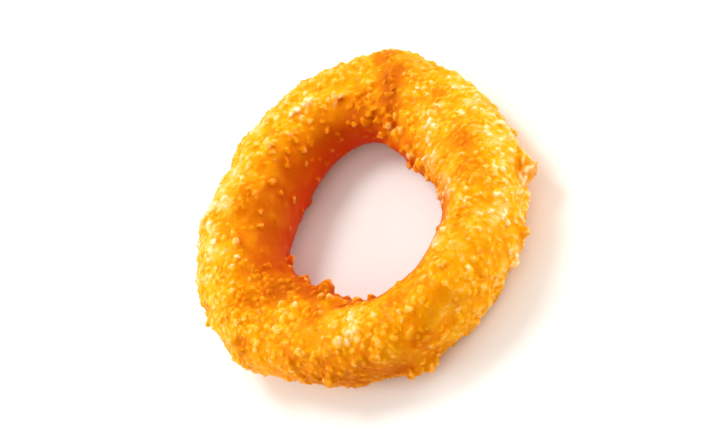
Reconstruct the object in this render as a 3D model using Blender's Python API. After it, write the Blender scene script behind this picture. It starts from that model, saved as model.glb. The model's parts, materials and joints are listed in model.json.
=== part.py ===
"""A breaded and fried onion ring, lying flat.

The ring is one solid: a thick, uneven tube of crumb coat that closes on itself round an open hole.
It starts as a torus, whose tube is reshaped into the hand-dipped section of the real food and
roughened with low relief. Larger crumbs and crags are then fused on, and the underside is cut flat
where the ring rests. Lengths are metres and +Z is up. The origin lies under the middle of the ring,
on the surface that it rests on. Azimuth is measured round the ring from +X. Turn is measured round
the tube: 0 is its outer side, 90 its top, 180 the side towards the hole and 270 its underside.
"""

import math
import random

import bmesh
import bpy
from mathutils import Quaternion, Vector, noise

MM = 0.001

# Driving dimensions of the ring
RING_DIAMETER = 75.0 * MM
TUBE_WIDTH = 18.6 * MM
TUBE_HEIGHT = 16.8 * MM
SECTION_SQUARENESS = 2.3
FLAT_DEPTH = 0.4 * MM
CENTRE_RADIUS = (RING_DIAMETER - TUBE_WIDTH) / 2

# Unevenness round the ring, as (lobes, cosine part, sine part), in millimetres
CENTRE_WAVES = ((2, -1.3, 0.6), (3, -1.1, 0.75), (4, -0.25, -0.6))
HALF_WIDTH_WAVES = ((1, 0.15, 0.7), (2, 1.15, 0.25))
HALF_HEIGHT_WAVES = ((1, -0.8, -0.3), (2, -0.6, -0.9))

# Broad swellings of the coat, as (azimuth, turn, height, spread), in degrees and millimetres
SWELLINGS = (
    (186, 12, 1.9, 6.5),
    (38, 30, 1.2, 5.0),
    (250, 335, 0.8, 4.0),
    (300, 340, 0.6, 4.0),
    (50, 140, 0.7, 3.5),
    (192, 140, 0.8, 4.5),
    (96, 20, 0.5, 7.0),
    (112, 330, 0.7, 6.0),
)

# Mesh of the tube. The jitter is a share of one step and keeps the facets from lining up
AZIMUTH_STEPS = 120
TURN_STEPS = 35
STEP_JITTER = 0.33

# Grain and height of the relief, and how much is left on the hole's wall and on the pressed underside
LUMP_GRAIN = 8.0 * MM
LUMP_HEIGHT = 0.6 * MM
CRUMB_GRAIN = 3.3 * MM
CRUMB_HEIGHT = 2.1 * MM
WALL_SHARE = 0.2
UNDERSIDE_SHARE = 0.35
UNDERSIDE_FALL = 4

# Crags that stand out of the coat, as (azimuth, turn, size), in degrees and millimetres
CRAGS = (
    (332, 335, 3.6),
    (328, 344, 2.8),
    (248, 336, 3.2),
    (254, 327, 2.6),
    (306, 342, 2.4),
    (296, 336, 2.4),
    (178, 123, 2.4),
    (187, 135, 2.8),
    (197, 147, 2.6),
    (203, 160, 3.2),
    (176, 97, 2.0),
    (52, 141, 2.6),
    (38, 118, 2.4),
    (46, 157, 2.8),
    (34, 174, 2.6),
    (8, 152, 2.6),
    (348, 152, 2.6),
    (114, 124, 1.7),
    (168, 27, 2.4),
    (222, 2, 2.4),
)

# Smaller crumbs, spread evenly over the coat by the golden ratio. The wall of the hole, which lies
# within WALL_HALF_ANGLE degrees of turn 180, keeps only a share of them
CRUMB_COUNT = 56
CRUMB_SIZES = (2.2 * MM, 3.6 * MM)
CRUMB_SPREAD = (1.0, 1.35)
CRUMB_THICKNESS = (0.6, 0.8)
CRUMB_ROUGHNESS = 0.22
WALL_HALF_ANGLE = 70
WALL_CRUMB_SHARE = 0.1
GOLDEN_RATIO = (1 + math.sqrt(5)) / 2
SEED = 7

COAT_COLOUR = (0.83, 0.39, 0.055, 1.0)
COAT_ROUGHNESS = 0.55


def clear_scene():
    for item in list(bpy.data.objects):
        bpy.data.objects.remove(item, do_unlink=True)


def new_collection(name):
    made = bpy.data.collections.new(name)
    bpy.context.scene.collection.children.link(made)
    return made


def move_to(item, collection):
    for old in list(item.users_collection):
        old.objects.unlink(item)
    collection.objects.link(item)


def wave(azimuth, parts):
    """The sum of the waves at this azimuth, in metres."""
    return MM * sum(c * math.cos(n * azimuth) + s * math.sin(n * azimuth) for n, c, s in parts)


def smooth_point(azimuth, turn):
    """A point of the tube without relief. The tube's height varies, and its underside stays level."""
    half_width = TUBE_WIDTH / 2 + wave(azimuth, HALF_WIDTH_WAVES)
    half_height = TUBE_HEIGHT / 2 + wave(azimuth, HALF_HEIGHT_WAVES)
    across, up = math.cos(turn), math.sin(turn)
    reach = (abs(across) ** SECTION_SQUARENESS + abs(up) ** SECTION_SQUARENESS) ** (-1 / SECTION_SQUARENESS)
    radius = CENTRE_RADIUS + wave(azimuth, CENTRE_WAVES) + half_width * reach * across
    height = half_height * (1 + reach * up)
    return Vector((radius * math.cos(azimuth), radius * math.sin(azimuth), height))


def smooth_normal(azimuth, turn):
    """The outward direction of the smooth tube, from two small steps along it."""
    small_step = 0.01
    here = smooth_point(azimuth, turn)
    along = smooth_point(azimuth + small_step, turn) - here
    around = smooth_point(azimuth, turn + small_step) - here
    return along.cross(around).normalized()


def relief(point, turn):
    """How far the rough coat stands out from the smooth tube, in metres."""
    towards_hole = max(0.0, -math.cos(turn))
    downwards = max(0.0, -math.sin(turn))
    nearest = noise.voronoi(point / CRUMB_GRAIN)[0][0]
    height = CRUMB_HEIGHT * (0.5 - nearest) * (1 + (WALL_SHARE - 1) * towards_hole)
    height += LUMP_HEIGHT * noise.noise(point / LUMP_GRAIN)
    height *= 1 + (UNDERSIDE_SHARE - 1) * downwards ** UNDERSIDE_FALL
    for swell_azimuth, swell_turn, swell_height, spread in SWELLINGS:
        centre = smooth_point(math.radians(swell_azimuth), math.radians(swell_turn))
        away = (point - centre).length / (spread * MM)
        height += swell_height * MM * math.exp(-away ** 2)
    return height


def coat_point(azimuth, turn):
    point = smooth_point(azimuth, turn)
    return point + smooth_normal(azimuth, turn) * relief(point, turn)


def make_tube(collection):
    """A torus whose every point is moved to its place on the rough coat."""
    bpy.ops.mesh.primitive_torus_add(
        major_segments=AZIMUTH_STEPS,
        minor_segments=TURN_STEPS,
        major_radius=CENTRE_RADIUS,
        minor_radius=TUBE_HEIGHT / 2,
    )
    tube = bpy.context.active_object
    tube.name = tube.data.name = "onion_ring"
    move_to(tube, collection)
    rng = random.Random(SEED)
    azimuth_jitter = STEP_JITTER * math.tau / AZIMUTH_STEPS
    turn_jitter = STEP_JITTER * math.tau / TURN_STEPS
    for vertex in tube.data.vertices:
        x, y, z = vertex.co
        azimuth = math.atan2(y, x) + rng.uniform(-azimuth_jitter, azimuth_jitter)
        turn = math.atan2(z, math.hypot(x, y) - CENTRE_RADIUS) + rng.uniform(-turn_jitter, turn_jitter)
        vertex.co = coat_point(azimuth, turn)
    return tube


def make_crumb(azimuth, turn, size, rng, collection):
    """One angular crumb, sunk partly into the coat."""
    bpy.ops.mesh.primitive_ico_sphere_add(subdivisions=1, radius=size / 2)
    crumb = bpy.context.active_object
    crumb.name = "crumb"
    stretch = Vector((rng.uniform(*CRUMB_SPREAD), 1.0, rng.uniform(*CRUMB_THICKNESS)))
    for vertex in crumb.data.vertices:
        vertex.co = vertex.co * stretch * rng.uniform(1 - CRUMB_ROUGHNESS, 1 + CRUMB_ROUGHNESS)
    outward = smooth_normal(azimuth, turn)
    spin = Quaternion(outward, rng.uniform(0, math.tau))
    crumb.rotation_mode = "QUATERNION"
    crumb.rotation_quaternion = spin @ outward.to_track_quat("Z", "Y")
    crumb.location = coat_point(azimuth, turn)
    move_to(crumb, collection)


def spread_crumbs(collection):
    """Places the crags first, and then the smaller crumbs."""
    rng = random.Random(SEED)
    for azimuth, turn, size in CRAGS:
        make_crumb(math.radians(azimuth), math.radians(turn), size * MM, rng, collection)
    placed, step = 0, 0
    while placed < CRUMB_COUNT:
        step += 1
        azimuth = math.tau * (step / GOLDEN_RATIO % 1)
        turn = rng.uniform(0, math.tau)
        faces_hole = abs(turn - math.pi) < math.radians(WALL_HALF_ANGLE)
        if rng.random() < (WALL_CRUMB_SHARE if faces_hole else 1):
            make_crumb(azimuth, turn, rng.uniform(*CRUMB_SIZES), rng, collection)
            placed += 1


def apply_boolean(body, operation, **settings):
    """Adds a Boolean to the body and applies it. EXACT loses the body where many crumbs overlap."""
    modifier = body.modifiers.new(operation.title(), "BOOLEAN")
    modifier.operation = operation
    modifier.solver = "MANIFOLD"
    for name, value in settings.items():
        setattr(modifier, name, value)
    bpy.ops.object.select_all(action="DESELECT")
    body.select_set(True)
    bpy.context.view_layer.objects.active = body
    bpy.ops.object.modifier_apply(modifier=modifier.name)


def fuse(body, collection):
    """Joins everything in the collection to the body, and then removes it."""
    apply_boolean(body, "UNION", operand_type="COLLECTION", collection=collection)
    for item in list(collection.objects):
        bpy.data.objects.remove(item, do_unlink=True)


def flatten_underside(body, collection):
    """Cuts away what lies under the flat that the ring rests on."""
    depth = 4 * TUBE_HEIGHT
    bpy.ops.mesh.primitive_cube_add(size=1, location=(0, 0, FLAT_DEPTH - depth / 2))
    cutter = bpy.context.active_object
    cutter.name = "floor_cutter"
    cutter.scale = (2 * RING_DIAMETER, 2 * RING_DIAMETER, depth)
    cutter.hide_render = True
    cutter.display_type = "WIRE"
    move_to(cutter, collection)
    bpy.ops.object.transform_apply(location=True, rotation=False, scale=True)
    apply_boolean(body, "DIFFERENCE", object=cutter)
    bpy.data.objects.remove(cutter, do_unlink=True)


def largest_piece(body):
    """Drops any loose scrap that the joins and the cut left beside the ring."""
    shape = bmesh.new()
    shape.from_mesh(body.data)
    unseen = set(shape.verts)
    pieces = []
    while unseen:
        reached = [unseen.pop()]
        piece = []
        while reached:
            vertex = reached.pop()
            piece.append(vertex)
            for edge in vertex.link_edges:
                other = edge.other_vert(vertex)
                if other in unseen:
                    unseen.remove(other)
                    reached.append(other)
        pieces.append(piece)
    pieces.sort(key=len)
    for piece in pieces[:-1]:
        bmesh.ops.delete(shape, geom=piece, context="VERTS")
    shape.to_mesh(body.data)
    shape.free()


def centre_on_origin(body):
    """Moves the mesh so that its footprint is centred on the origin and its flat is at zero."""
    corners = [Vector(corner) for corner in body.bound_box]
    low = Vector(min(corner[axis] for corner in corners) for axis in range(3))
    high = Vector(max(corner[axis] for corner in corners) for axis in range(3))
    shift = Vector((-(low.x + high.x) / 2, -(low.y + high.y) / 2, -low.z))
    for vertex in body.data.vertices:
        vertex.co += shift


def coat_material():
    """Golden fried crumb."""
    made = bpy.data.materials.new("fried_crumb_coat")
    made.use_nodes = True
    shader = made.node_tree.nodes["Principled BSDF"]
    shader.inputs["Base Color"].default_value = COAT_COLOUR
    shader.inputs["Roughness"].default_value = COAT_ROUGHNESS
    shader.inputs["Metallic"].default_value = 0.0
    made.diffuse_color = COAT_COLOUR
    return made


def main():
    clear_scene()
    parts = new_collection("onion_ring")
    helpers = new_collection("helpers")
    ring = make_tube(parts)
    spread_crumbs(helpers)
    fuse(ring, helpers)
    flatten_underside(ring, helpers)
    largest_piece(ring)
    centre_on_origin(ring)
    ring.data.materials.clear()
    ring.data.materials.append(coat_material())
    bpy.ops.object.select_all(action="DESELECT")


main()
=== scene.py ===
"""The looks of a breaded and fried onion ring, lying flat on a pale floor."""

import json
import math
import random

import bpy
from mathutils import Matrix, Quaternion, Vector

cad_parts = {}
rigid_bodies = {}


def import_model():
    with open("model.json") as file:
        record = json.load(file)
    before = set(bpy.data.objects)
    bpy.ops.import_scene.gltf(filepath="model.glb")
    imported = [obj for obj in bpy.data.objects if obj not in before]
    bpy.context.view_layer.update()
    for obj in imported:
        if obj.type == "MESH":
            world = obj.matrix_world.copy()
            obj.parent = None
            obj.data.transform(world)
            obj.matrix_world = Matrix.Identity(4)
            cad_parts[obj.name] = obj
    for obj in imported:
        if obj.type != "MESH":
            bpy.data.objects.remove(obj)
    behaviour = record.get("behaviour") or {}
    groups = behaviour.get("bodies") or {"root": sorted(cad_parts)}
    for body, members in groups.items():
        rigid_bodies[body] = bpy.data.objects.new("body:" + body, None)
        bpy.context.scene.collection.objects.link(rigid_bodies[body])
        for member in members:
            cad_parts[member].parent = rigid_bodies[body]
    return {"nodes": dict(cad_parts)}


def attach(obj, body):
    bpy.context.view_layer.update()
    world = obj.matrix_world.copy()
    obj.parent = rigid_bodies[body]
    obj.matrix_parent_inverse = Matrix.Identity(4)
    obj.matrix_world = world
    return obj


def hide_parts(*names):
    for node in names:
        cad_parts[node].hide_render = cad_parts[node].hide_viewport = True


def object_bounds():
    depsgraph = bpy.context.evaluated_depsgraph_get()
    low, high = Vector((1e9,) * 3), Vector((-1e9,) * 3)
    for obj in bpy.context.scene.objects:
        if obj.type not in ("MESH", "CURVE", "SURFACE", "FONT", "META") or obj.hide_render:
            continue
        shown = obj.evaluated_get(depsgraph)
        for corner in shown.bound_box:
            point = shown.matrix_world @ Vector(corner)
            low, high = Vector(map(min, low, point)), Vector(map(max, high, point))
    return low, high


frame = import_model()
cad_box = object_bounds()
MM = 0.001


# The camera looks down on the ring through a long lens, as the photograph does. The ring in the
# photograph leans, so the camera is rolled until the lying ring is seen at the same slant.

IMAGE_WIDTH, IMAGE_HEIGHT = 720, 432
CAMERA_ELEVATION = math.radians(49)
CAMERA_ROLL = math.radians(-46)
CAMERA_LENS_MM = 180
SENSOR_WIDTH_MM = 36
NEAREST_SEEN, FARTHEST_SEEN = 0.01, 20
RING_SHARE_OF_HEIGHT = 0.8

bpy.ops.object.select_all(action="DESELECT")
bpy.ops.object.camera_add()
camera = bpy.context.active_object
camera.name = "camera"
camera.data.lens = CAMERA_LENS_MM
camera.data.sensor_width = SENSOR_WIDTH_MM
camera.data.clip_start = NEAREST_SEEN
camera.data.clip_end = FARTHEST_SEEN
ring_centre = (cad_box[0] + cad_box[1]) / 2
towards_camera = Vector((0, -math.cos(CAMERA_ELEVATION), math.sin(CAMERA_ELEVATION)))
level_view = (-towards_camera).to_track_quat("-Z", "Y")
camera.rotation_mode = "QUATERNION"
camera.rotation_quaternion = level_view @ Quaternion((0, 0, 1), CAMERA_ROLL)

# The ring's seen outline, in the camera's own axes, is centred in the picture
solid = frame["nodes"]["onion_ring"]
seen = [camera.rotation_quaternion.inverted() @ vertex.co for vertex in solid.data.vertices]
seen_low = Vector(min(point[axis] for point in seen) for axis in range(3))
seen_high = Vector(max(point[axis] for point in seen) for axis in range(3))
ring_on_sensor = RING_SHARE_OF_HEIGHT * SENSOR_WIDTH_MM * IMAGE_HEIGHT / IMAGE_WIDTH
camera_distance = CAMERA_LENS_MM * (seen_high.y - seen_low.y) / ring_on_sensor
aim = camera.rotation_quaternion @ ((seen_low + seen_high) / 2)
camera.location = aim + towards_camera * camera_distance
bpy.context.scene.camera = camera


# The core is the ring without its crumbs: the onion in its set batter. It is a smoothed copy of the
# solid, drawn in by half a crumb so that the crumbs bring it back to size. It carries the crumbs and
# the marks of frying and of painted light and shade, and is removed at the end.

MERGED_WITHIN = 0.001 * MM
CORE_VOXEL = 0.6 * MM
CORE_SMOOTHING, CORE_SMOOTHING_STEPS = 0.5, 14
CORE_DRAWN_IN = 0.5 * MM
WALL_SHARE_DRAWN_IN = 0.2
COARSE_SHARE_OF_WALL = 0.35
PIT_DEPTH = 1.2 * MM
TUBE_CENTRE_RADIUS = 28.5 * MM
TUBE_CENTRE_HEIGHT = 8.8 * MM

# Marks of the dip and of frying, and of painted light and shade, as (azimuth, turn, radius in
# millimetres, strength). Azimuth is measured round the ring from +X. Turn is measured round the tube:
# 0 outside, 90 on top, 180 in the hole. Browned spots are browning and also painted shade on shaded
# sides and lower edges, and pale spots are paler crumb and also painted light on lit rims and flanks.
# Pits are hollows in the batter, and at full strength they are PIT_DEPTH deep
BROWNED_AND_SHADED_SPOTS = (
    (39, 16, 5.0, 0.7),
    (31, 25, 4.0, 0.6),
    (11, 45, 5.0, 0.4),
    (35, 42, 4.5, 0.7),
    (33, 66, 4.5, 0.6),
    (31, 120, 6.0, 0.9),
    (41, 171, 4.5, 1.0),
    (44, 188, 4.0, 1.0),
    (45, 86, 4.0, 0.35),
    (224, 73, 4.0, 0.35),
    (38, 37, 4.0, 0.3),
    (46, 132, 5.5, 0.6),
    (54, 151, 5.0, 0.8),
    (26, 164, 3.0, 0.4),
    (10, 174, 4.0, 0.3),
    (121, 127, 7.0, 0.4),
    (134, 119, 7.0, 0.3),
    (188, 144, 6.0, 0.85),
    (171, 147, 5.0, 0.6),
    (165, 128, 6.0, 0.6),
    (162, 152, 5.0, 0.5),
    (182, 123, 5.0, 0.6),
    (176, 96, 4.0, 0.4),
    (200, 152, 4.5, 0.55),
    (210, 152, 4.5, 0.9),
    (218, 128, 5.0, 0.6),
    (188, 42, 4.0, 0.8),
    (210, 50, 5.0, 0.4),
    (238, 34, 6.5, 0.55),
    (259, 89, 4.0, 0.4),
    (270, 44, 6.0, 0.3),
    (260, 27, 6.0, 0.45),
    (252, 12, 7.0, 0.4),
    (228, 352, 9.0, 0.7),
    (210, 357, 8.0, 0.35),
    (239, 335, 9.0, 0.4),
    (246, 342, 7.0, 0.6),
    (341, 85, 6.0, 0.6),
    (325, 81, 5.0, 0.5),
    (308, 66, 5.0, 0.25),
    (164, 29, 4.0, 0.3),
    (217, 345, 5.0, 0.7),
    (275, 28, 4.0, 0.45),
    (319, 61, 3.5, 0.4),
    (215, 93, 4.0, 0.35),
    (26, 43, 4.0, 0.3),
    (159, 158, 4.0, 0.9),
    (181, 92, 4.0, 0.3),
    (63, 120, 5.0, 0.45),
    (258, 334, 5.0, 0.4),
    (222, 33, 4.0, 0.4),
    (192, 132, 4.0, 0.4),
    (190, 11, 4.0, 0.35),
    (71, 120, 5.0, 0.3),
    (326, 8, 4.0, 0.35),
    (327, 347, 4.0, 0.5),
    (334, 77, 4.5, 0.2),
    (354, 5, 5.0, 0.15),
    (192, 89, 4.0, 0.2),
)
# Paler crumb and also painted light, on the rims and flanks that face the lights
PALE_AND_LIT_SPOTS = (
    (72, 72, 9.0, 0.9),
    (58, 30, 7.0, 0.6),
    (107, 85, 8.0, 0.75),
    (128, 84, 9.0, 0.9),
    (147, 85, 9.0, 0.5),
    (150, 35, 13.0, 0.35),
    (165, 64, 8.0, 0.5),
    (178, 46, 6.0, 0.4),
    (8, 6, 9.0, 0.7),
    (11, 30, 7.0, 0.3),
    (349, 15, 8.0, 0.5),
    (338, 7, 6.0, 0.7),
    (330, 19, 8.0, 0.9),
    (320, 350, 9.0, 0.8),
    (308, 29, 8.0, 1.0),
    (293, 338, 7.0, 0.8),
    (278, 335, 6.0, 0.5),
    (286, 60, 5.0, 0.5),
    (8, 114, 6.0, 0.5),
    (355, 32, 6.0, 0.5),
    (340, 42, 5.0, 0.7),
    (359, 143, 5.0, 0.7),
    (342, 148, 6.0, 0.8),
    (319, 138, 7.0, 1.0),
    (237, 76, 5.0, 0.4),
    (233, 100, 7.0, 0.5),
    (239, 110, 5.0, 0.5),
    (216, 44, 6.0, 0.3),
    (291, 101, 5.0, 1.0),
    (309, 111, 5.0, 0.4),
    (197, 116, 4.0, 0.4),
    (231, 151, 4.0, 0.8),
    (313, 128, 5.0, 0.7),
    (319, 34, 5.0, 0.5),
    (320, 349, 4.0, 0.3),
    (129, 82, 6.0, 0.9),
    (2, 100, 5.0, 0.6),
    (54, 105, 4.5, 0.9),
    (297, 345, 5.0, 0.5),
    (86, 61, 6.0, 0.6),
    (162, 112, 5.0, 0.4),
    (340, 172, 4.0, 0.5),
    (251, 108, 5.0, 0.5),
    (295, 99, 5.0, 0.5),
    (308, 72, 5.0, 0.3),
    (286, 334, 5.0, 0.4),
    (303, 346, 5.0, 0.4),
    (155, 58, 6.0, 0.5),
    (237, 56, 5.0, 0.5),
    (342, 58, 4.0, 0.4),
)
COARSE_SPOTS = (
    (350, 75, 13.0, 0.6),
    (341, 29, 10.0, 0.9),
    (347, 165, 8.0, 0.9),
    (325, 150, 7.0, 0.8),
    (22, 171, 5.0, 0.9),
    (36, 162, 4.0, 0.5),
    (195, 107, 10.0, 0.9),
    (212, 142, 7.0, 1.0),
    (181, 139, 6.0, 0.5),
    (236, 102, 8.0, 0.5),
    (163, 92, 8.0, 0.5),
    (71, 53, 8.0, 0.4),
    (185, 60, 9.0, 0.7),
)
SMOOTH_SPOTS = (
    (269, 41, 9.0, 0.9),
    (291, 53, 9.0, 0.7),
    (256, 14, 8.0, 0.7),
    (242, 0, 7.0, 0.5),
    (338, 88, 5.0, 0.5),
    (35, 42, 4.5, 0.8),
    (34, 122, 4.0, 0.7),
    (110, 115, 12.0, 0.7),
    (150, 115, 10.0, 0.7),
    (326, 8, 4.0, 0.9),
)
PITS = (
    (230, 149, 3.6, 1.0),
    (206, 163, 2.6, 0.9),
    (172, 164, 2.4, 0.7),
    (147, 192, 2.0, 0.6),
    (167, 31, 3.2, 0.6),
    (26, 164, 2.2, 0.6),
    (43, 186, 3.6, 1.0),
    (32, 31, 2.2, 0.4),
    (188, 44, 2.0, 0.5),
    (183, 107, 2.4, 0.5),
    (54, 101, 2.6, 1.0),
    (4, 92, 2.8, 1.0),
)


def select(active, *others):
    """Selects only these objects, with the first one active."""
    bpy.ops.object.select_all(action="DESELECT")
    for piece in (active, *others):
        piece.select_set(True)
    bpy.context.view_layer.objects.active = active


def apply_modifier(piece, kind, **settings):
    """Adds a modifier to the piece and applies it."""
    modifier = piece.modifiers.new(kind.title(), kind)
    for name, value in settings.items():
        setattr(modifier, name, value)
    select(piece)
    bpy.ops.object.modifier_apply(modifier=modifier.name)


def add_node(tree, kind, inputs=None, **settings):
    """Adds a node with its settings and links.

    An input is found by its name, or by its number among those in use. It is given a value, a
    socket, or a node, which stands for that node's first output.
    """
    node = tree.nodes.new(kind)
    for name, value in settings.items():
        setattr(node, name, value)
    in_use = [socket for socket in node.inputs if socket.enabled]
    for name, value in (inputs or {}).items():
        socket = in_use[name] if isinstance(name, int) else node.inputs[name]
        if isinstance(value, bpy.types.Node):
            value = next(output for output in value.outputs if output.enabled)
        if isinstance(value, bpy.types.NodeSocket):
            tree.links.new(value, socket)
        else:
            socket.default_value = value
    return node


def copy_shape(source, name):
    """A new object with its own copy of the source's mesh."""
    made = bpy.data.objects.new(name, source.data.copy())
    bpy.context.scene.collection.objects.link(made)
    return made


def begin_shape(name):
    """A Geometry Nodes tree and its incoming geometry."""
    tree = bpy.data.node_groups.new(name, "GeometryNodeTree")
    tree.interface.new_socket("Geometry", in_out="INPUT", socket_type="NodeSocketGeometry")
    tree.interface.new_socket("Geometry", in_out="OUTPUT", socket_type="NodeSocketGeometry")
    return tree, add_node(tree, "NodeGroupInput")


def finish_shape(piece, tree, geometry):
    """Presses level what hangs below the floor, and applies the tree to the piece."""
    place = add_node(tree, "GeometryNodeInputPosition")
    above = add_node(tree, "ShaderNodeVectorMath", {0: place, 1: (-1, -1, 0)}, operation="MAXIMUM")
    pressed = add_node(tree, "GeometryNodeSetPosition", {"Geometry": geometry, "Position": above})
    add_node(tree, "NodeGroupOutput", {0: pressed})
    apply_modifier(piece, "NODES", node_group=tree)


core = copy_shape(solid, "core")
select(core)
bpy.ops.object.mode_set(mode="EDIT")
bpy.ops.mesh.select_all(action="SELECT")
bpy.ops.mesh.remove_doubles(threshold=MERGED_WITHIN)
bpy.ops.object.mode_set(mode="OBJECT")
apply_modifier(core, "REMESH", mode="VOXEL", voxel_size=CORE_VOXEL, use_smooth_shade=True)
apply_modifier(core, "SMOOTH", factor=CORE_SMOOTHING, iterations=CORE_SMOOTHING_STEPS)


def on_core(azimuth, turn):
    """The point of the core at this azimuth and turn, and the direction that the turn points in."""
    outside = Vector((math.cos(math.radians(azimuth)), math.sin(math.radians(azimuth)), 0))
    away = outside * math.cos(math.radians(turn)) + Vector((0, 0, math.sin(math.radians(turn))))
    middle = outside * TUBE_CENTRE_RADIUS + Vector((0, 0, TUBE_CENTRE_HEIGHT))
    return core.ray_cast(middle, away)[1], away


tree, geometry = begin_shape("marks_of_frying_and_painted_light")
position = add_node(tree, "GeometryNodeInputPosition")
level = add_node(tree, "ShaderNodeVectorMath", {0: position, 1: (1, 1, 0)}, operation="MULTIPLY")
outside = add_node(tree, "ShaderNodeVectorMath", {0: level}, operation="NORMALIZE")
normal = add_node(tree, "GeometryNodeInputNormal")
facing = add_node(tree, "ShaderNodeVectorMath", {0: normal, 1: outside}, operation="DOT_PRODUCT")
marks = {
    "wall": add_node(
        tree,
        "ShaderNodeMapRange",
        {0: facing, "From Min": 0, "From Max": -1},
        interpolation_type="SMOOTHSTEP",
    )
}
for name, spots in (
    ("browned", BROWNED_AND_SHADED_SPOTS),
    ("pale", PALE_AND_LIT_SPOTS),
    ("coarse", COARSE_SPOTS),
    ("smooth", SMOOTH_SPOTS),
    ("pitted", PITS),
):
    marks[name] = 0.0
    for azimuth, turn, radius, strength in spots:
        distance = add_node(
            tree, "ShaderNodeVectorMath", {0: position, 1: on_core(azimuth, turn)[0]}, operation="DISTANCE"
        )
        patch = add_node(
            tree,
            "ShaderNodeMapRange",
            {0: distance, "From Min": radius * MM, "From Max": 0, "To Max": strength},
            interpolation_type="SMOOTHSTEP",
        )
        marks[name] = add_node(
            tree, "ShaderNodeMath", {0: marks[name], 1: patch}, operation="ADD", use_clamp=True
        )
smooth_share = add_node(
    tree, "ShaderNodeMapRange", {0: marks["coarse"], "To Min": 1, "To Max": COARSE_SHARE_OF_WALL}
)
marks["wall"] = add_node(tree, "ShaderNodeMath", {0: marks["wall"], 1: smooth_share}, operation="MULTIPLY")
inwards = add_node(
    tree,
    "ShaderNodeMapRange",
    {0: marks["wall"], "To Min": -CORE_DRAWN_IN, "To Max": -WALL_SHARE_DRAWN_IN * CORE_DRAWN_IN},
)
inwards = add_node(
    tree, "ShaderNodeMath", {0: marks["pitted"], 1: -PIT_DEPTH, 2: inwards}, operation="MULTIPLY_ADD"
)
drawn_in = add_node(tree, "ShaderNodeVectorMath", {0: normal, "Scale": inwards}, operation="SCALE")
geometry = add_node(tree, "GeometryNodeSetPosition", {"Geometry": geometry, "Offset": drawn_in})
for name, value in marks.items():
    geometry = add_node(
        tree, "GeometryNodeStoreNamedAttribute", {"Geometry": geometry, "Name": name, "Value": value}
    )
finish_shape(core, tree, geometry)


# The crust is dry breadcrumb pressed into wet batter and fried until they are one. Broken crumbs of
# three sizes and the largest flakes are sunk in the core, and a fine remesh fuses all of it, as the
# batter fuses the real ones. Crests are pale and crisp, and their paleness is also painted light;
# pits and the hole are deep orange, partly as painted shade.

CRUMB_KINDS = 8
CRUMB_RADIUS = 0.55 * MM
CRUMB_STRETCHES = (1.0, 1.35)
CRUMB_THICKNESSES = (0.8, 1.2)
CRUMB_JITTER = 0.09 * MM
CRUMB_CUTS_AT_MM = (0.3, 0.5)
CRUMB_EDGE_ANGLE = math.radians(50)

# Points tried in a square of the crumbs' spacing, the tilt of a crumb in radians, and the power that
# makes small crumbs more common than large ones
POINTS_TRIED = 2
CRUMB_TILT = 0.6
SMALL_CRUMBS_MORE = 2.0

# The noise level where a patch of crumbs begins and where it is full, and how far across patches are
PATCH_BEGINS, PATCH_IS_FULL = 0.35, 0.6
CRUST_PATCHES = 6 * MM

# The share of crumbs that stays between patches, and where a mark of the core is strongest
LEFT_BETWEEN_PATCHES = 0.35
LEFT_ON_SMOOTH = 0.15
LEFT_IN_PITS = 0.3
LEFT_ON_WALL = 0.1

FLAKES_RAISED = 0.3 * MM
FLAKE_ROLL, FLAKE_LEAN = 1.2, 0.5
FLAKE_SEED = 3
CRUST_VOXEL = 0.27 * MM
CRUST_SMOOTHING = 0.4
CRUST_TRIANGLES = 197000

# Crumbs sunk in the crust: (name, spacing, least size, greatest size, roundness, cuts, flatness, sink)
SUNK_CRUMBS = (
    ("broad_crumb", 2.3 * MM, 1.8, 3.2, 2, 6, 0.6, 0.15),
    ("crumb", 1.6 * MM, 1.2, 2.2, 2, 6, 0.6, 0.18),
    ("grit", 1.25 * MM, 1.0, 1.9, 2, 4, 0.8, 0.1),
)

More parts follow.
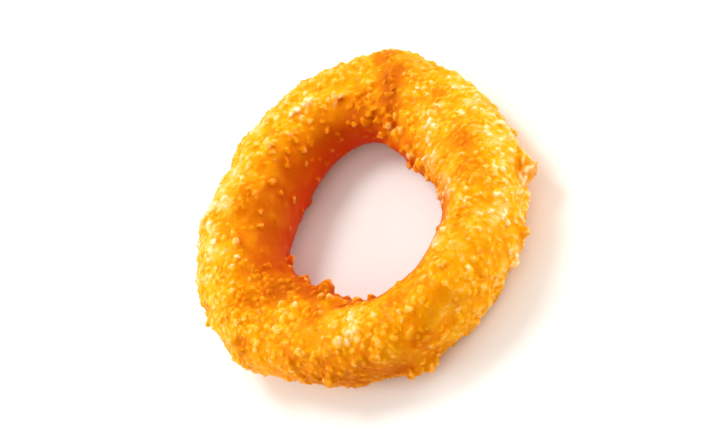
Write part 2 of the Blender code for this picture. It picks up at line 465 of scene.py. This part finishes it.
# The largest flakes stand on edge, along the ring, and show in its outline. Millimetres of width and
# height: (azimuth, turn, width, height)
FLAKES = (
    (327, 345, 7.0, 4.4),
    (331, 348, 6.4, 3.2),
    (336, 351, 5.0, 2.0),
    (306, 342, 3.0, 1.8),
    (296, 336, 3.0, 1.8),
    (248, 336, 4.0, 2.4),
    (254, 327, 3.2, 2.2),
    (222, 2, 3.0, 1.8),
    (156, 184, 2.2, 2.6),
    (189, 169, 3.4, 2.8),
    (194, 160, 2.2, 2.2),
    (207, 166, 3.0, 3.6),
    (212, 166, 3.6, 4.2),
    (215, 160, 2.6, 3.0),
    (222, 150, 2.0, 2.0),
    (240, 143, 2.2, 1.8),
    (248, 140, 1.8, 1.5),
    (177, 137, 1.8, 1.8),
    (175, 110, 1.6, 1.5),
    (217, 148, 1.4, 2.4),
    (196, 128, 2.0, 1.8),
    (186, 120, 2.0, 1.6),
    (205, 130, 2.2, 1.8),
    (44, 157, 2.6, 1.8),
    (35, 178, 2.2, 1.8),
    (37, 159, 2.0, 1.6),
    (39, 133, 1.6, 1.4),
    (30, 151, 1.8, 1.6),
    (24, 172, 2.6, 2.2),
    (14, 176, 2.4, 2.2),
    (3, 172, 2.6, 2.2),
    (4, 182, 1.8, 2.0),
    (351, 168, 2.4, 2.0),
    (342, 176, 2.2, 2.0),
    (330, 165, 2.2, 1.8),
    (318, 150, 1.8, 1.5),
    (53, 153, 1.3, 1.3),
    (65, 149, 1.4, 1.4),
    (143, 117, 1.8, 1.6),
    (150, 119, 2.0, 1.8),
    (157, 118, 1.6, 1.4),
    (262, 61, 1.4, 1.4),
    (254, 53, 1.5, 1.5),
    (264, 2, 1.4, 1.4),
    (231, 152, 2.0, 1.9),
    (323, 354, 4.6, 2.0),
    (33, 140, 1.7, 1.7),
    (26, 146, 1.5, 1.5),
    (29, 163, 1.8, 1.8),
    (20, 163, 2.0, 1.9),
    (12, 162, 1.7, 1.6),
    (8, 170, 2.0, 2.1),
    (0, 160, 1.8, 1.7),
    (355, 177, 2.2, 2.2),
    (348, 159, 1.7, 1.6),
    (338, 167, 2.0, 1.8),
    (41, 146, 1.7, 1.7),
    (16, 148, 1.4, 1.4),
)


def make_crumbs(name, roundness, cuts, flatness):
    """A collection of broken crumbs, each about a millimetre across, to be scaled where it lies."""
    rng = random.Random(name)
    kinds = bpy.data.collections.new(name)
    for kind in range(CRUMB_KINDS):
        bpy.ops.object.select_all(action="DESELECT")
        bpy.ops.mesh.primitive_ico_sphere_add(subdivisions=roundness, radius=CRUMB_RADIUS)
        crumb = bpy.context.active_object
        crumb.name = f"{name}_{kind}"
        bpy.ops.object.mode_set(mode="EDIT")
        bpy.ops.mesh.select_all(action="SELECT")
        length, thickness = rng.uniform(*CRUMB_STRETCHES), flatness * rng.uniform(*CRUMB_THICKNESSES)
        bpy.ops.transform.resize(value=(length, 1, thickness))
        bpy.ops.transform.vertex_random(
            offset=CRUMB_JITTER, uniform=1, normal=0.5, seed=rng.randrange(1000)
        )
        for _ in range(cuts):
            side = Vector((rng.gauss(0, 1), rng.gauss(0, 1), rng.gauss(0, 1) * flatness)).normalized()
            bpy.ops.mesh.select_all(action="SELECT")
            cut_at = side * rng.uniform(*CRUMB_CUTS_AT_MM) * MM
            bpy.ops.mesh.bisect(plane_co=cut_at, plane_no=side, use_fill=True, clear_outer=True)
        bpy.ops.mesh.select_all(action="SELECT")
        bpy.ops.mesh.quads_convert_to_tris()
        bpy.ops.object.mode_set(mode="OBJECT")
        bpy.ops.object.shade_smooth_by_angle(angle=CRUMB_EDGE_ANGLE)
        for old in list(crumb.users_collection):
            old.objects.unlink(crumb)
        kinds.objects.link(crumb)
    return kinds


def scatter(tree, surface, kinds, spacing, density, least, greatest, sink, seed):
    """Crumbs on the surface, sunk by a share of their size. Most are small, and few are large."""
    points = add_node(
        tree,
        "GeometryNodeDistributePointsOnFaces",
        {
            "Mesh": surface,
            "Distance Min": spacing,
            "Density Max": POINTS_TRIED / spacing**2,
            "Density Factor": density,
            "Seed": seed,
        },
        distribute_method="POISSON",
    )
    spin = add_node(
        tree,
        "FunctionNodeRandomValue",
        {
            0: (-CRUMB_TILT, -CRUMB_TILT, -math.pi),
            1: (CRUMB_TILT, CRUMB_TILT, math.pi),
            "Seed": seed + 1,
        },
        data_type="FLOAT_VECTOR",
    )
    turned = add_node(
        tree,
        "FunctionNodeRotateRotation",
        {"Rotation": points.outputs["Rotation"], "Rotate By": spin},
        rotation_space="LOCAL",
    )
    chance = add_node(tree, "FunctionNodeRandomValue", {0: 0.0, 1: 1.0, "Seed": seed + 2}, data_type="FLOAT")
    skewed = add_node(tree, "ShaderNodeMath", {0: chance, 1: SMALL_CRUMBS_MORE}, operation="POWER")
    size = add_node(tree, "ShaderNodeMapRange", {0: skewed, "To Min": least, "To Max": greatest})
    depth = add_node(tree, "ShaderNodeMath", {0: size, 1: -sink * MM}, operation="MULTIPLY")
    inwards = add_node(
        tree, "ShaderNodeVectorMath", {0: points.outputs["Normal"], "Scale": depth}, operation="SCALE"
    )
    sunk = add_node(
        tree, "GeometryNodeSetPosition", {"Geometry": points.outputs["Points"], "Offset": inwards}
    )
    source = add_node(
        tree,
        "GeometryNodeCollectionInfo",
        {"Collection": kinds, "Separate Children": True, "Reset Children": True},
    )
    return add_node(
        tree,
        "GeometryNodeInstanceOnPoints",
        {"Points": sunk, "Instance": source, "Pick Instance": True, "Rotation": turned, "Scale": size},
    )


def in_patches(tree, across, least):
    """A density that is full in patches of this size, and falls to the least between them."""
    place = add_node(tree, "GeometryNodeInputPosition")
    noise = add_node(tree, "ShaderNodeTexNoise", {"Vector": place, "Scale": 1 / across, "Detail": 1.0})
    return add_node(
        tree,
        "ShaderNodeMapRange",
        {0: noise, "From Min": PATCH_BEGINS, "From Max": PATCH_IS_FULL, "To Min": least},
    )


def thinned_by(tree, density, mark, least):
    """The density, thinned to this least share where the mark is strongest."""
    strength = add_node(tree, "GeometryNodeInputNamedAttribute", {"Name": mark}, data_type="FLOAT")
    share = add_node(tree, "ShaderNodeMapRange", {0: strength, "To Min": 1, "To Max": least})
    return add_node(tree, "ShaderNodeMath", {0: density, 1: share}, operation="MULTIPLY")


crust = copy_shape(core, "fried_crust")
tree, geometry = begin_shape("crumbs_in_the_batter")
coverage = in_patches(tree, CRUST_PATCHES, LEFT_BETWEEN_PATCHES)
coverage = thinned_by(tree, coverage, "smooth", LEFT_ON_SMOOTH)
coverage = thinned_by(tree, coverage, "pitted", LEFT_IN_PITS)
bare_wall = thinned_by(tree, 1.0, "wall", LEFT_ON_WALL)
coarse = add_node(tree, "GeometryNodeInputNamedAttribute", {"Name": "coarse"}, data_type="FLOAT")
walled = add_node(tree, "ShaderNodeMath", {0: bare_wall, 1: coarse}, operation="MAXIMUM")
coverage = add_node(tree, "ShaderNodeMath", {0: coverage, 1: walled}, operation="MULTIPLY")
joined = add_node(tree, "GeometryNodeJoinGeometry", {0: geometry})
used_kinds = []
for number, (name, spacing, least, greatest, roundness, cuts, flatness, sink) in enumerate(SUNK_CRUMBS):
    kinds = make_crumbs(name, roundness, cuts, flatness)
    used_kinds.append(kinds)
    density = coverage
    if name == "broad_crumb":
        density = add_node(tree, "ShaderNodeMath", {0: coverage, 1: coarse}, operation="MULTIPLY")
    crumbs = scatter(tree, geometry, kinds, spacing, density, least, greatest, sink, 10 * number)
    realized = add_node(tree, "GeometryNodeRealizeInstances", {0: crumbs})
    tree.links.new(realized.outputs[0], joined.inputs[0])
finish_shape(crust, tree, joined)

flake_kinds = make_crumbs("standing_flake", 2, 6, 0.7)
used_kinds.append(flake_kinds)
rng = random.Random(FLAKE_SEED)
flakes = []
for number, (azimuth, turn, width, height) in enumerate(FLAKES):
    place, away = on_core(azimuth, turn)
    flake = copy_shape(flake_kinds.objects[number % CRUMB_KINDS], f"flake_{number}")
    stood = away.to_track_quat("X", "Z") @ Quaternion((1, 0, 0), rng.uniform(-FLAKE_ROLL, FLAKE_ROLL))
    stood = stood @ Quaternion((0, 0, 1), rng.uniform(-FLAKE_LEAN, FLAKE_LEAN))
    sizes = Vector((height, width, (width + height) / 2))
    flake.matrix_world = Matrix.LocRotScale(place + away * FLAKES_RAISED, stood, sizes)
    flakes.append(flake)
select(crust, *flakes)
bpy.ops.object.join()

apply_modifier(crust, "REMESH", mode="VOXEL", voxel_size=CRUST_VOXEL, use_smooth_shade=True)
apply_modifier(crust, "SMOOTH", factor=CRUST_SMOOTHING, iterations=1)
fine_triangles = 2 * len(crust.data.polygons)
apply_modifier(crust, "DECIMATE", ratio=min(1, CRUST_TRIANGLES / fine_triangles))

# The remesh drops the marks, so they are read back from the core. A crest stands out from the crust
# within some 3 mm round it, and a ridge within less than 1 mm: (name, steps that the crust is blurred by)
HEIGHTS = (("ridge", 4), ("crest", 20))

tree, geometry = begin_shape("crests_and_ridges")
core_shape = add_node(tree, "GeometryNodeObjectInfo", {"Object": core}).outputs["Geometry"]
for name in marks:
    on_the_core = add_node(tree, "GeometryNodeInputNamedAttribute", {"Name": name}, data_type="FLOAT")
    nearest = add_node(
        tree,
        "GeometryNodeSampleNearestSurface",
        {"Mesh": core_shape, "Value": on_the_core},
        data_type="FLOAT",
    )
    geometry = add_node(
        tree, "GeometryNodeStoreNamedAttribute", {"Geometry": geometry, "Name": name, "Value": nearest}
    )
position = add_node(tree, "GeometryNodeInputPosition")
normal = add_node(tree, "GeometryNodeInputNormal")
for name, steps in HEIGHTS:
    around = add_node(
        tree, "GeometryNodeBlurAttribute", {"Value": position, "Iterations": steps}, data_type="FLOAT_VECTOR"
    )
    raised = add_node(tree, "ShaderNodeVectorMath", {0: position, 1: around}, operation="SUBTRACT")
    height = add_node(tree, "ShaderNodeVectorMath", {0: raised, 1: normal}, operation="DOT_PRODUCT")
    in_mm = add_node(tree, "ShaderNodeMath", {0: height, 1: 1 / MM}, operation="MULTIPLY")
    geometry = add_node(
        tree, "GeometryNodeStoreNamedAttribute", {"Geometry": geometry, "Name": name, "Value": in_mm}
    )
finish_shape(crust, tree, geometry)


def from_hex(colour):
    """An sRGB hex colour as linear red, green, blue and alpha."""
    parts = [int(colour[i:i + 2], 16) / 255 for i in (1, 3, 5)]
    return [c / 12.92 if c <= 0.04045 else ((c + 0.055) / 1.055) ** 2.4 for c in parts] + [1.0]


# Fried breadcrumb: golden and translucent, deep orange in pits and where it browned, with painted
# shade in pits, in the hole and on shaded sides, pale on thin crisp ridges, which also hold the oil
# that glints, with painted light and highlight on crests and ridges. Where it browned or is painted in
# shade, its lumps stay paler, as painted light on their tops
MOTTLE_SIZE = 3.8 * MM
GRANULE_SIZE = 1.2 * MM
GRAIN_SIZE = 0.35 * MM
OIL_SIZE = 0.9 * MM
BUMP_HEIGHT = 0.25 * MM

# Millimetres of height: past these a crest or ridge gets no paler from crumb colour and painted light,
# a lump keeps off the browning and painted shade, and a ridge has its full gloss
HIGHEST_CREST, HIGHEST_RIDGE = 0.4, 0.25
HIGHEST_LUMP = 0.2
GLOSSY_RIDGE = 0.12

BASE_PALENESS = 0.035
LUMP_SHARE_BROWNED_AND_SHADED = 0.35
PIT_ROUGHNESS, RIDGE_ROUGHNESS = 0.6, 0.4
OIL_BEGINS, OIL_IS_FULL, MOST_OIL = 0.5, 0.68, 0.5
TRANSLUCENCE = 0.4
PALENESS_COLOURS = (
    (0.1, "#E88000"),
    (0.42, "#EE9A00"),
    (0.58, "#F6A90A"),
    (0.7, "#FFB64C"),
    (0.82, "#FFC67C"),
    (1.0, "#FFE4B8"),
)
# Browning, also used as painted shade on shaded sides and lower edges
BROWNED_AND_SHADED_COLOUR = "#B85200"
# Painted shade in the hole, deeper towards its foot
WALL_SHADE_COLOUR = "#BA4800"
DEEP_WALL_SHADE_COLOUR = "#D63000"
DEEP_WALL_TOP, DEEP_WALL_FOOT = 12 * MM, 3 * MM

crumb_finish = bpy.data.materials.new("fried_breadcrumb")
crumb_finish.use_nodes = True
tree = crumb_finish.node_tree
shader = tree.nodes["Principled BSDF"]
place = add_node(tree, "ShaderNodeTexCoord").outputs["Object"]
mark = {
    name: add_node(tree, "ShaderNodeAttribute", attribute_name=name).outputs["Fac"]
    for name in ("crest", "ridge", "browned", "pale", "wall", "shade", "loose")
}
mottle = add_node(
    tree,
    "ShaderNodeTexNoise",
    {"Vector": place, "Scale": 1 / MOTTLE_SIZE, "Detail": 4.0, "Roughness": 0.6},
)
granules = add_node(
    tree,
    "ShaderNodeTexVoronoi",
    {"Vector": place, "Scale": 1 / GRANULE_SIZE, "Detail": 1.0},
    normalize=True,
)
paleness = add_node(tree, "ShaderNodeMath", {0: mottle, 1: BASE_PALENESS}, operation="ADD")
crest = add_node(tree, "ShaderNodeMath", {0: mark["crest"], 1: HIGHEST_CREST}, operation="MINIMUM")
ridge = add_node(tree, "ShaderNodeMath", {0: mark["ridge"], 1: HIGHEST_RIDGE}, operation="MINIMUM")
# Paleness on crests, ridges and granule middles is partly crisp crumb and partly painted light and
# highlight; the pale spots add painted light and the browned spots painted shade
for value, weight in (
    (crest, 0.4),
    (ridge, 0.8),
    (mark["pale"], 0.26),
    (mark["browned"], -0.2),
    (mark["shade"], 0.26),
    (granules, -0.4),
):
    paleness = add_node(tree, "ShaderNodeMath", {0: value, 1: weight, 2: paleness}, operation="MULTIPLY_ADD")
colour = add_node(tree, "ShaderNodeValToRGB", {0: paleness})
ramp = colour.color_ramp.elements
ramp[0].position, ramp[1].position = PALENESS_COLOURS[0][0], PALENESS_COLOURS[-1][0]
ramp[0].color, ramp[1].color = from_hex(PALENESS_COLOURS[0][1]), from_hex(PALENESS_COLOURS[-1][1])
for stop, tint in PALENESS_COLOURS[1:-1]:
    ramp.new(stop).color = from_hex(tint)
# The hole's wall is painted in shade, deepest towards its foot
height = add_node(tree, "ShaderNodeSeparateXYZ", {0: place}).outputs["Z"]
lowness = add_node(
    tree, "ShaderNodeMapRange", {0: height, "From Min": DEEP_WALL_TOP, "From Max": DEEP_WALL_FOOT}
)
deep_wall_shade = add_node(tree, "ShaderNodeMath", {0: lowness, 1: mark["wall"]}, operation="MULTIPLY")
# Lumps keep out of the browning and painted shade, as painted light on their tops
lump_share = add_node(
    tree,
    "ShaderNodeMapRange",
    {0: ridge, "From Max": HIGHEST_LUMP, "To Min": 1, "To Max": LUMP_SHARE_BROWNED_AND_SHADED},
)
for amount, deeper in (
    (mark["browned"], BROWNED_AND_SHADED_COLOUR),
    (mark["wall"], WALL_SHADE_COLOUR),
    (deep_wall_shade, DEEP_WALL_SHADE_COLOUR),
):
    amount = add_node(tree, "ShaderNodeMath", {0: amount, 1: lump_share}, operation="MULTIPLY")
    colour = add_node(tree, "ShaderNodeMix", {0: amount, 1: colour, 2: from_hex(deeper)}, data_type="RGBA")
tree.links.new(next(output for output in colour.outputs if output.enabled), shader.inputs["Base Color"])
roughness = add_node(
    tree,
    "ShaderNodeMapRange",
    {0: mark["ridge"], "From Max": GLOSSY_RIDGE, "To Min": PIT_ROUGHNESS, "To Max": RIDGE_ROUGHNESS},
)
tree.links.new(roughness.outputs[0], shader.inputs["Roughness"])
grain = add_node(
    tree, "ShaderNodeTexNoise", {"Vector": place, "Scale": 1 / GRAIN_SIZE, "Detail": 2.0, "Roughness": 0.6}
)
grain = add_node(tree, "ShaderNodeMath", {0: grain, 1: 0.6}, operation="MULTIPLY")
grain = add_node(tree, "ShaderNodeMath", {0: granules, 1: -1.0, 2: grain}, operation="MULTIPLY_ADD")
bump = add_node(tree, "ShaderNodeBump", {"Height": grain, "Distance": BUMP_HEIGHT, "Strength": 0.5})
tree.links.new(bump.outputs[0], shader.inputs["Normal"])
oil = add_node(tree, "ShaderNodeTexNoise", {"Vector": place, "Scale": 1 / OIL_SIZE, "Detail": 1.0})
oil = add_node(tree, "ShaderNodeMath", {0: oil, 1: mark["ridge"]}, operation="ADD")
oil = add_node(
    tree,
    "ShaderNodeMapRange",
    {0: oil, "From Min": OIL_BEGINS, "From Max": OIL_IS_FULL, "To Max": MOST_OIL},
)
for dry in ("wall", "browned"):
    oil = add_node(tree, "ShaderNodeMath", {0: oil, 1: mark[dry]}, operation="SUBTRACT", use_clamp=True)
tree.links.new(oil.outputs[0], shader.inputs["Coat Weight"])
shader.inputs["IOR"].default_value = 1.47
shader.inputs["Specular IOR Level"].default_value = 0.15
shader.inputs["Specular Tint"].default_value = from_hex("#FFC060")
shader.inputs["Coat Roughness"].default_value = 0.35
shader.inputs["Coat IOR"].default_value = 1.47
fused = add_node(tree, "ShaderNodeMapRange", {0: mark["loose"], "To Min": TRANSLUCENCE, "To Max": 0})
tree.links.new(fused.outputs[0], shader.inputs["Subsurface Weight"])
shader.inputs["Subsurface Radius"].default_value = (1.0, 0.45, 0.12)
shader.inputs["Subsurface Scale"].default_value = 1.3 * MM
crust.data.materials.clear()
crust.data.materials.append(crumb_finish)
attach(crust, "root")
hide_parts("onion_ring")


# Loose crumbs and grains stick to the crust where the batter did not reach: crisp broken bread from
# 1.5 mm down to 0.6 mm. They lie in patches, thin out in the hole and on smooth crust, and take the
# crust's colour, each a little paler or deeper than the next.

LOOSE_PATCHES = 4 * MM
LOOSE_LEFT_BETWEEN_PATCHES = 0.4
LOOSE_SHARE_ON_FINE, LOOSE_SHARE_ON_COARSE = 0.2, 0.9
LOOSE_SEED, SHADE_SEED = 50, 57
DEEPEST_SHADE, PALEST_SHADE = -0.5, 1.0

# (name, spacing, least size, greatest size, roundness, cuts, flatness, sink, least share on smooth crust)
LOOSE_CRUMBS = (
    ("loose_crumbs", 1.7 * MM, 0.8, 1.35, 2, 5, 0.7, 0.28, 0.0),
    ("loose_grains", 0.95 * MM, 0.6, 1.35, 1, 1, 0.7, 0.3, 0.35),
)
for number, row in enumerate(LOOSE_CRUMBS):
    name, spacing, least, greatest, roundness, cuts, flatness, sink, left_on_smooth = row
    kinds = make_crumbs(name, roundness, cuts, flatness)
    used_kinds.append(kinds)
    loose = copy_shape(crust, name)
    tree, geometry = begin_shape(name)
    density = in_patches(tree, LOOSE_PATCHES, LOOSE_LEFT_BETWEEN_PATCHES)
    for mark_name, left in (("wall", LEFT_ON_WALL), ("smooth", left_on_smooth), ("pitted", LEFT_IN_PITS)):
        density = thinned_by(tree, density, mark_name, left)
    if name == "loose_crumbs":
        coarse = add_node(tree, "GeometryNodeInputNamedAttribute", {"Name": "coarse"}, data_type="FLOAT")
        share = add_node(
            tree,
            "ShaderNodeMapRange",
            {0: coarse, "To Min": LOOSE_SHARE_ON_FINE, "To Max": LOOSE_SHARE_ON_COARSE},
        )
        density = add_node(tree, "ShaderNodeMath", {0: density, 1: share}, operation="MULTIPLY")
    seed = LOOSE_SEED + 10 * number
    crumbs = scatter(tree, geometry, kinds, spacing, density, least, greatest, sink, seed)
    shade = add_node(
        tree,
        "FunctionNodeRandomValue",
        {0: DEEPEST_SHADE, 1: PALEST_SHADE, "Seed": SHADE_SEED + 10 * number},
        data_type="FLOAT",
    )
    for mark_name, value in (("shade", shade), ("loose", 1.0)):
        crumbs = add_node(
            tree,
            "GeometryNodeStoreNamedAttribute",
            {"Geometry": crumbs, "Name": mark_name, "Value": value},
            domain="INSTANCE",
        )
    finish_shape(loose, tree, add_node(tree, "GeometryNodeRealizeInstances", {0: crumbs}))
    loose.data.materials.clear()
    loose.data.materials.append(crumb_finish)
    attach(loose, "root")

bpy.data.objects.remove(core)
for kinds in used_kinds:
    for crumb in list(kinds.objects):
        bpy.data.objects.remove(crumb)


# The ring lies on a plain pale floor under soft studio light: one wide light above and beyond it, a
# lower one on each side, a weak one in front, and a bright room all round.

FLOOR_SIDE = 6

bpy.ops.object.select_all(action="DESELECT")
bpy.ops.mesh.primitive_plane_add(size=FLOOR_SIDE)
floor = bpy.context.active_object
floor.name = "floor"
floor_finish = bpy.data.materials.new("matt_white_board")
floor_finish.use_nodes = True
floor_shader = floor_finish.node_tree.nodes["Principled BSDF"]
floor_shader.inputs["Base Color"].default_value = from_hex("#EFEEEB")
floor_shader.inputs["Roughness"].default_value = 0.8
floor.data.materials.append(floor_finish)

# (name, place in metres, diameter, watts)
LIGHTS = (
    ("above", (0.00, 0.34, 0.52), 0.26, 1.9),
    ("left", (-0.46, 0.26, 0.24), 0.30, 1.5),
    ("right", (0.58, -0.08, 0.17), 0.30, 1.9),
    ("front", (-0.05, -0.50, 0.36), 0.30, 0.2),
)
for name, place, size, power in LIGHTS:
    bpy.ops.object.light_add(type="AREA", location=place)
    light = bpy.context.active_object
    light.name = name
    light.data.shape = "DISK"
    light.data.size = size
    light.data.energy = power
    light.rotation_mode = "QUATERNION"
    light.rotation_quaternion = (ring_centre - Vector(place)).to_track_quat("-Z", "Y")

world = bpy.data.worlds.new("bright_room")
world.use_nodes = True
world.node_tree.nodes["Background"].inputs["Color"].default_value = from_hex("#FFFDF8")
world.node_tree.nodes["Background"].inputs["Strength"].default_value = 0.85
bpy.context.scene.world = world
bpy.context.scene.view_settings.view_transform = "Standard"
